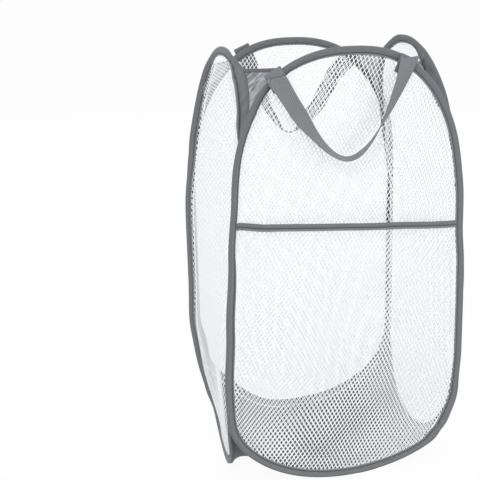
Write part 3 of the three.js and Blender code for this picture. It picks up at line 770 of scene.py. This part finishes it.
def make_pocket():
    slack, slack_deep = Waves(61, 0.13), 0.0009
    under_tape, under_hem = 0.0095, 0.0015  # where the pocket's net ends

    def allowed(x, z):
        return inside_loop(FRONT_HALF, x, z, under_tape) & (z < hem_height(x) - under_hem)

    def place(across, up, out):
        free = smoothstep(edge_depth(FRONT_HALF, across, up)[0], 0.012, 0.05)
        free = free * (1 - 0.7 * smoothstep(up, 0.33, 0.36))
        lift = pocket_out(across, up) + slack_deep * free * slack(across, up)
        return wall_point("front", across, up, out + lift)

    net, area = net_piece("pocket_mesh", allowed, place, ((-FRONT_HALF, 0), (FRONT_HALF, 0.4)),
                          shift=(0.0019, 0.0012), turn=-0.145)
    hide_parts("pocket_net")
    # the hem: tape folded over the net's edge, with a stitched groove along its middle
    across = np.linspace(-POCKET_HALF, POCKET_HALF, 150)
    low = np.array([0.0100, 0.0098, 0.0090, 0.0078, 0.0069, 0.0064, 0.0060, 0.0056, 0.0050, 0.0038,
                    0.0024, 0.0010, 0.0002])
    out = np.array([0.0003, 0.0008, 0.00105, 0.00110, 0.00105, 0.0008, 0.00045, 0.0008, 0.00112,
                    0.00122, 0.00125, 0.00115, 0.0008])
    down, thick = folded(low, out)
    wave, fine = Waves(62, 0.08), Waves(63, 0.02)
    a = across[:, None]
    top = hem_height(a) + 0.0006 * wave(a, 0 * a)
    o = thick[None, :] + np.sign(thick)[None, :] * 0.00016 * fine(a, down[None, :] * 2)
    points = wall_point("front", a, top - down[None, :], pocket_out(a, top) + o).reshape(-1, 3)
    columns = len(down)
    first = np.arange(len(across)) * columns
    last = first + columns - 1
    close = np.stack([last[:-1], first[:-1], first[1:], last[1:]], -1)
    # the ends are closed with strips between the two faces
    ends = []
    for row, way in ((0, 1), (len(across) - 1, -1)):
        for k in range(columns // 2):
            quad = [row * columns + n for n in (k, k + 1, columns - 2 - k, columns - 1 - k)]
            if quad[1] == quad[2]:
                quad = quad[:2] + quad[3:]
            ends.append(quad[::way])
    faces = np.concatenate([grid_faces(len(across), columns), close]).tolist() + ends
    hem = make_mesh("pocket_top_hem", points, faces, tape,
                    spread(across, down + 0.0032))
    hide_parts("pocket_hem")
    for piece in (net, hem):
        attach(piece, "front")


# Corner cloth
CORNERS = {
    "front_right": ("front", 1, "right", -1),
    "back_right": ("right", 1, "back", -1),
    "back_left": ("back", 1, "left", -1),
    "front_left": ("left", 1, "front", -1),
}
# How far each gusset reaches in from the side of the front or back loop
GUSSET_SPAN = {"front_right": 0.082, "back_right": 0.071, "back_left": 0.071, "front_left": 0.080}


def wire_places(wall, side, arch, angles, depth=TUBE):
    """Points on a loop's wire, or at another depth from its outer edge."""
    half = PANELS[wall][0]
    foot, rise, power, way = ARCHES[arch]
    p = arch_points(half, arch, angles)
    share = np.abs(p[:, 0]) / half
    height = np.abs(p[:, 1] - foot) / rise
    slope = np.stack([-(share ** (power - 1)) / half, -way * height ** (power - 1) / rise], -1)
    p = p + unit(slope) * depth
    return wall_point(wall, side * p[:, 0], p[:, 1], 0.0)


def corner_rulings(corner, arch, angles):
    """The ends of straight lines from one loop's binding to the next one's, round an arch."""
    wall_a, side_a, wall_b, side_b = CORNERS[corner]
    a = wire_places(wall_a, side_a, arch, angles)
    b = wire_places(wall_b, side_b, arch, angles)
    if arch == "top" and corner == "front_right":
        # the gusset comes out of the lip of this loop's wide tape
        end = arch_points(SIDE_HALF, arch, angles)
        wide = departure(wall_b, "wider", side_b * end[:, 0], end[:, 1])
        lip = wire_places(wall_b, side_b, arch, angles, LIP * (1 + wide[:, None]))
        b = b + (lip - b) * smoothstep(wide, 0.05, 0.5)[:, None]
    along = unit(b - a)
    cuts = []
    for ends in (a, b):
        tangent = unit(np.gradient(ends, axis=0))
        slant = np.sqrt(np.clip(1 - (tangent * along).sum(1) ** 2, 0.05, 1))
        cuts.append((TUCK / slant)[:, None])
    return a + along * cuts[0], b - along * cuts[1]


def ruled(a, b, columns):
    """A grid of points on straight lines from one row of points to another."""
    t = np.linspace(0, 1, columns)[None, :, None]
    return a[:, None, :] * (1 - t) + b[:, None, :] * t


def grid_normal(grid):
    normal = np.cross(np.gradient(grid, axis=0), np.gradient(grid, axis=1))
    return normal / np.maximum(np.linalg.norm(normal, axis=-1, keepdims=True), 1e-12)


def cloth_sheet(name, grid, thick, material):
    """A closed thin sheet from a grid of points."""
    rows, columns = grid.shape[:2]
    normal = grid_normal(grid)
    top, bottom = grid + normal * thick / 2, grid - normal * thick / 2
    points = np.concatenate([top.reshape(-1, 3), bottom.reshape(-1, 3)])
    count = rows * columns
    faces = grid_faces(rows, columns)
    rim = np.concatenate([
        np.arange(columns), np.arange(1, rows) * columns + columns - 1,
        (rows - 1) * columns + np.arange(columns - 2, -1, -1), np.arange(rows - 2, 0, -1) * columns,
    ])
    sides = np.stack([rim, np.roll(rim, -1), np.roll(rim, -1) + count, rim + count], -1)
    faces = np.concatenate([faces, faces[:, ::-1] + count, sides[:, ::-1]])
    lengths = []
    for axis, none in ((0, np.zeros((1, columns))), (1, np.zeros((rows, 1)))):
        steps = np.linalg.norm(np.diff(grid, axis=axis), axis=-1)
        lengths.append(np.concatenate([none, np.cumsum(steps, axis)], axis).ravel())
    uv = np.tile(np.stack(lengths, -1), (2, 1))
    return make_mesh(name, points, outward(points, faces), material, uv)


def gusset_folds(corner, grid, width):
    """How far a gusset's cloth stands out of its plain surface: folds that fan from the two ends
    of its upper edge, and a slack belly between them."""
    pressed, faint, slack_deep = 0.0080, 0.0012, 0.0009
    fold_start, fold_fade = 0.014, 0.09  # how far from its end a fold is full, and how it fades
    seed = list(CORNERS).index(corner)
    rows, columns = grid.shape[:2]
    share_up = np.linspace(0, 1, rows)[:, None]
    share_on = np.linspace(0, 1, columns)[None, :]
    x = (share_on - 0.5) * width
    z = grid[..., 2] - grid[-1, 0, 2]
    pin = np.sin(math.pi * share_on) ** 0.6 * np.clip(share_up * 3, 0, 1)
    r = np.random.default_rng(70 + seed)
    height = np.zeros((rows, columns))
    # the folds at the front or back loop are pressed in deep
    front_end = 0 if CORNERS[corner][0] in ("front", "back") else -1
    for end, sign in ((0, 1), (-1, -1)):
        away = x - x[-1, end]
        angle, reach = np.arctan2(away * sign, -z + 0.004), np.hypot(away, z)
        deep = pressed if end == front_end else faint
        for _ in range(3):
            k = r.uniform(5, 9)
            fold = (1 - np.abs(np.sin(k * angle + r.uniform(0, 6.3)))) ** 1.5
            height += deep * fold * np.exp(-reach / fold_fade) * np.clip(reach / fold_start, 0, 1)
    height += slack_deep * Waves(80 + seed, 0.03)(x + 0.3 * z, z * 0.5)
    return height * (pin * (1 - 0.6 * smoothstep(share_up, 0.9, 1.0)))


def make_gusset(corner):
    rows, columns = 72, 52
    widest = math.acos((1 - GUSSET_SPAN[corner] / FRONT_HALF) ** (TOP_POWER / 2))
    a, b = corner_rulings(corner, "top", np.linspace(0.0, widest, rows))
    grid = ruled(a, b, columns)
    width = np.linalg.norm(b - a, axis=1)[:, None]
    grid = grid + grid_normal(grid) * gusset_folds(corner, grid, width)[..., None]
    piece = cloth_sheet(f"{corner}_corner_gusset", grid, 0.0004, gusset_cloth)
    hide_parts(f"{corner}_gusset")
    return piece, grid


def make_gusset_tape(corner, grid):
    """The folded tape along the last row of a gusset's grid, its upper edge."""
    start, end = grid[-1, 0], grid[-1, -1]
    reach, along = np.linalg.norm(end - start), unit(end - start)
    down = (grid[-6, 0] + grid[-6, -1]) / 2 - (start + end) / 2
    down = unit(down - along * down.dot(along))
    places = np.linspace(-0.02, 1.02, 40)
    depth = np.array([0.0046, 0.0040, 0.0030, 0.0018, 0.0006, -0.0003])
    out = np.array([0.00035, 0.0007, 0.00075, 0.0008, 0.0008, 0.0006])
    depth, out = folded(depth, out, edge=-0.0007)
    wave = Waves(90 + list(CORNERS).index(corner), 0.05)
    wander = 0.0004 * wave(places * reach, 0 * places)
    rings = start + along * (reach * places)[:, None, None]
    rings = rings + down * (depth + wander[:, None])[..., None]
    rings = rings + np.cross(along, down) * out[None, :, None]
    piece = tube(f"{corner}_gusset_edge_tape", rings, edge_tape,
                 spread(places * reach, depth))
    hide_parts(f"{corner}_gusset_tape")
    return piece


def make_seam(corner):
    """The narrow cloth that joins two bindings where the walls meet."""
    wall_a, side_a, wall_b, side_b = CORNERS[corner]
    up = np.linspace(BOTTOM_ARCH + 0.001, ARCH_FOOT - 0.002, 120)
    a = wall_point(wall_a, side_a * (PANELS[wall_a][0] - TUBE), up, 0.0)
    b = wall_point(wall_b, side_b * (PANELS[wall_b][0] - TUBE), up, 0.0)
    along = unit(b - a)
    a, b = a + along * TUCK, b - along * TUCK
    away = np.stack([along[:, 1], -along[:, 0], 0 * up], -1)
    away *= np.sign((away * a).sum(1))[:, None]
    wave = Waves(100 + list(CORNERS).index(corner), 0.04)
    t = np.linspace(-1, 1, 9)[None, :]
    bulge, uneven = 0.0009, 0.0003
    ridge = bulge * (1 - t**2) + uneven * wave(up[:, None], t * 0.01)
    grid = ruled(a, b, t.size) + away[:, None] * ridge[..., None]
    piece = cloth_sheet(f"{corner}_corner_seam", grid, 0.0012, edge_tape)
    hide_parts(f"{corner}_seam")
    return piece


# How far the base's cloth stands in between the loops at each corner
BASE_BELLY = {"front_right": 0.006, "back_right": 0.006, "back_left": 0.006, "front_left": 0.030}


def make_base():
    """The base lies flat in the middle and rises between the loops in each corner."""
    steps, columns, rings = 60, 26, 14
    lowest, sag, crumple, ripple = 0.0004, 0.0016, 0.0006, 0.0012
    wave, fine = Waves(110, 0.09), Waves(111, 0.022)
    on, up = np.linspace(0, 1, columns)[None, :], np.linspace(0, 1, steps)[:, None]
    belly = (np.sin(math.pi * on) * np.sin(math.pi * up)) ** 0.7
    points, faces, rim = [], [], []
    for corner in CORNERS:
        start = len(points) * steps * columns
        a, b = corner_rulings(corner, "bottom", np.linspace(0.0, math.pi / 2, steps))
        grid = ruled(a, b, columns)
        x, y, z = np.moveaxis(grid, -1, 0)
        normal = grid_normal(grid)
        inward = np.where(normal[..., 2:3] < 0, -normal, normal)
        bump = (sag * wave(x, y + z) + crumple * fine(x, y) + BASE_BELLY[corner]) * belly
        grid = grid + inward * bump[..., None]
        grid[..., 2] = np.maximum(grid[..., 2] - (TUBE - lowest), lowest)
        points.append(grid.reshape(-1, 3))
        faces.append(grid_faces(steps, columns) + start)
        rim.append(start + (steps - 1) * columns + np.arange(columns))
    # the middle is filled with rings that shrink from the strips' last rows to one point
    points, last = np.concatenate(points), np.concatenate(rim)
    outline = points[last]
    for k in range(1, rings):
        share = 1 - k / rings
        ring = outline * np.array([share, share, 1.0])
        ring[:, 2] = lowest + ripple * np.clip(wave(ring[:, 0], ring[:, 1]), 0, None) * (1 - share)
        here = len(points) + np.arange(len(ring))
        points = np.concatenate([points, ring])
        faces.append(np.stack([last, np.roll(last, -1), np.roll(here, -1), here], -1))
        last = here
    fan = np.stack([last, np.roll(last, -1), np.full(len(last), len(points))], -1)
    points = np.concatenate([points, [[0, 0, 0.0006]]])
    piece = make_mesh("base_cloth", points, np.concatenate(faces).tolist() + fan.tolist(),
                      base_cloth_painted_shade, points[:, :2])
    mend(piece, 0.0002)
    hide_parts("base")
    return piece


# Handles
HANDLE_MIDDLE, HANDLE_TILT = (-0.014, 0.585418), math.radians(6.0064)
HANDLE_HALF = 0.092508
# How low each handle hangs, how round its bend is, and how far its lowest place lies to one side
HANDLE_HANGS = {"front": (0.117, 0.65, -0.0089), "back": (0.127, 0.30, 0.0)}
# How the webbing turns over from one end to the other: shares of its half, and degrees
HANDLE_TURNS = {
    "front": [(-1, 0), (-0.85, 22), (-0.68, 22), (-0.55, 50), (-0.27, 72), (0, 90), (0.5, 116),
              (0.7, 136), (0.88, 155), (1, 180)],
    "back": [(-1, 0), (-0.5, 6), (-0.3, 32), (-0.1, 72), (0.1, 100), (0.35, 128), (0.6, 146),
             (0.88, 165), (1, 180)],
}
# How far each handle's line is drawn to one side: shares of its half, and metres
HANDLE_DRAWS = {
    "front": [(-1, 0), (1, 0)],
    "back": [(-1, 0.002), (-0.88, 0.016), (-0.68, 0.011), (-0.45, 0.006), (-0.3, 0.006),
             (-0.1, 0.002), (0.1, 0), (1, 0)],
}
WEB_WIDE, WEB_THICK, WEB_GAP = 0.025, 0.0016, 0.0003
TAB_OUT = TUBE + WEB_GAP + WEB_THICK / 2
STRAP_OUT = TAB_OUT + WEB_THICK + WEB_GAP


def averaged(table, share, reach, count):
    """A table's values at shares, each the mean over a reach to both sides."""
    places, values = zip(*table)
    near = np.asarray(share)[..., None] + np.linspace(-reach, reach, count)
    return np.interp(near, places, values).mean(-1)


def handle_line(wall, share):
    """The webbing's middle line, along the line where the handle folds and up from it."""
    drop, bend, lean = HANDLE_HANGS[wall]
    low = 1 - (np.hypot(share, bend) - bend) / (math.hypot(1, bend) - bend)
    drawn = averaged(HANDLE_DRAWS[wall], share, 0.06, 13)
    return np.stack([HANDLE_HALF * share + lean * low + drawn, -drop * low], -1)


def handle_turn(wall, share):
    """How far the webbing has turned over, in radians. Its sewn ends lie flat."""
    turn = np.radians(averaged(HANDLE_TURNS[wall], share, 0.07, 15))
    ends = smoothstep(np.abs(share), 0.93, 1.0)
    return turn * (1 - ends) + np.where(share > 0, math.pi, 0.0) * ends


def handle_point(wall, along, rise, out):
    """A point of a handle in space, from its place in the handle's own slanted frame."""
    along, rise, out = np.broadcast_arrays(along, rise, out)
    c, s = math.cos(HANDLE_TILT), math.sin(HANDLE_TILT)
    across = HANDLE_MIDDLE[0] + along * c - rise * s
    up = HANDLE_MIDDLE[1] + along * s + rise * c
    way = 1 if wall == "front" else -1
    return np.stack([way * across, -way * (FRONT_PLANE + out), up], -1)


def strap_section():
    """The webbing's section with rounded selvedges: across its width and through it."""
    x = np.array([0, 0.3, 0.6, 0.86, 0.94, 0.985, 1.0]) * (WEB_WIDE / 2)
    thick = np.array([0.92, 0.92, 0.92, 1.0, 0.98, 0.72, 0.25]) * (WEB_THICK / 2)
    x, thick = np.concatenate([-x[:0:-1], x]), np.concatenate([thick[:0:-1], thick])
    return np.concatenate([x, x[::-1]]), np.concatenate([thick, -thick[::-1]])


def make_strap(wall):
    share = np.linspace(-1, 1, 150)
    line = handle_line(wall, share)
    tangent = unit(np.gradient(line, axis=0))
    normal = np.stack([-tangent[:, 1], tangent[:, 0]], -1)
    if wall == "front":
        # its ends are cut along the line where it is sewn on
        for k in (0, -1):
            normal[k] = (-1 / tangent[k, 1], 0.0)
    turn = handle_turn(wall, share)
    sx, st = strap_section()
    wave = Waves(120 + (wall == "back"), 0.05)
    c, s = np.cos(turn), np.sin(turn)
    wide = np.stack([normal[:, 0] * c, -s, normal[:, 1] * c], -1)
    thin = np.stack([normal[:, 0] * s, c, normal[:, 1] * s], -1)
    middle = np.stack([line[:, 0], WEB_WIDE / 2 * s, line[:, 1]], -1)
    hollow, uneven = 0.0006, 0.0003
    cup = hollow * (sx / (WEB_WIDE / 2)) ** 2 * (s**2)[:, None]
    through = st + cup + uneven * wave(share[:, None] * 0.2, sx[None, :])
    p = middle[:, None] + wide[:, None] * sx[:, None] + thin[:, None] * through[..., None]
    length = np.concatenate([[0], np.cumsum(np.linalg.norm(np.diff(line, axis=0), axis=1))])
    rings = handle_point(wall, p[..., 0], p[..., 2], STRAP_OUT + p[..., 1])
    piece = tube(f"{wall}_handle_webbing", rings, webbing, spread(length, sx))
    mend(piece)
    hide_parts(f"{wall}_handle_strap")
    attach(piece, f"{wall}_handle")


# How far the sewn-down ends of the webbing reach above the line where the handle folds
TAB_LENGTH = 0.026
TAB_ABOVE = {("front", -1): 0.010, ("front", 1): 0.001, ("back", -1): -0.011, ("back", 1): -0.011}


def make_tab(wall, side, word):
    before, end, after = (handle_line(wall, side + step) for step in (-0.001, 0.0, 0.001))
    along = unit(after - before)
    middle = end - side * along * (TAB_LENGTH / 2 - TAB_ABOVE[wall, side])
    normal = np.array([-along[1], along[0]])
    sx, st = strap_section()
    places = np.linspace(-0.5, 0.5, 16) * TAB_LENGTH
    p = (middle + along * places[:, None])[:, None] + normal * sx[:, None]
    rings = handle_point(wall, p[..., 0], p[..., 1], TAB_OUT + st)
    piece = tube(f"{wall}_handle_{word}_sewn_end", rings, webbing, spread(places, sx))
    mend(piece)
    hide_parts(f"{wall}_handle_{word}_tab")
    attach(piece, wall)


# The whole
def blend_ends(corner, seam):
    """Two points at a corner, each followed by a number: for a seam, to both sides of its hinge,
    and else on the two walls' planes.
    """
    east = 1 if "right" in corner else -1
    north = 1 if "back" in corner else -1
    if seam:
        # two points close round its hinge
        hinge = np.array([east * HINGE_X, north * HINGE_Y])
        first = np.array([-east, north]) * (-1 if corner == "back_left" else 1)
        first = first * 0.0028 / math.sqrt(2)
        return (*(hinge + first), 0.25), (*(hinge - first), 0.25)
    x, y = east * SIDE_PLANE, north * FRONT_PLANE
    if corner == "back_left":
        return (x, y - 0.05, 0.5), (x + 0.05, y, 0.5)
    return (x - east * 0.05, y, 0.5), (x, y + 0.05, 0.5)


for wall in PANELS:
    binding, line, inward, along = make_binding(wall)
    pieces = [binding, make_wire(wall, line, inward), make_ferrule(wall),
              make_stitches(wall, line, inward, along), wall_net(wall)]
    for piece in pieces:
        if wall in SIDES:
            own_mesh(piece)
        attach(piece, wall)
make_pocket()
for corner in CORNERS:
    gusset, grid = make_gusset(corner)
    for piece in (gusset, make_gusset_tape(corner, grid), make_seam(corner)):
        if corner == "back_right":
            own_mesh(piece)
            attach(piece, "back")
            continue
        start, end = blend_ends(corner, "seam" in piece.name)
        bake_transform(piece)
        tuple(start)
        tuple(end)
base = make_base()
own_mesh(base)
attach(base, "front")
for wall in ("front", "back"):
    make_strap(wall)
    make_tab(wall, -1, "left")
    make_tab(wall, 1, "right")


# Floor and light
def make_floor():
    bpy.ops.mesh.primitive_plane_add(size=60, location=(0, 0, 0))
    floor = bpy.context.active_object
    floor.name = "floor"
    n = new_material("floor")
    n.set(n.shader, "Base Color", (0.80, 0.80, 0.80, 1))
    n.set(n.shader, "Roughness", 0.9)
    n.show(n.add("Emission", Strength=1.0), 0.95, "Material Output")
    floor.data.materials.append(n.owner)


def make_world():
    world = bpy.data.worlds.new("studio")
    bpy.context.scene.world = world
    n = Nodes(world, "Background")
    n.set(n.shader, "Color", (0.96, 0.98, 1.0, 1))
    n.set(n.shader, "Strength", 0.80)
    n.show(n.add("Background", Color=(1, 1, 1, 1), Strength=1.0), 1.0, "World Output")


def add_light(name, place, target, size, power):
    data = bpy.data.lights.new(name, "AREA")
    data.shape = "DISK"
    data.size = size
    data.energy = power
    lamp = bpy.data.objects.new(name, data)
    bpy.context.scene.collection.objects.link(lamp)
    lamp.location = place
    lamp.rotation_euler = (Vector(target) - Vector(place)).to_track_quat("-Z", "Y").to_euler()


make_floor()
make_world()
add_light("key", (-1.6, -2.4, 2.6), (0, 0, 0.3), 1.8, 50)
add_light("fill", (2.4, -1.6, 1.4), (0, 0, 0.3), 2.2, 20)
add_light("rim", (0.6, 2.6, 2.2), (0, 0, 0.4), 2.0, 26)
bpy.context.scene.view_settings.view_transform = "Standard"
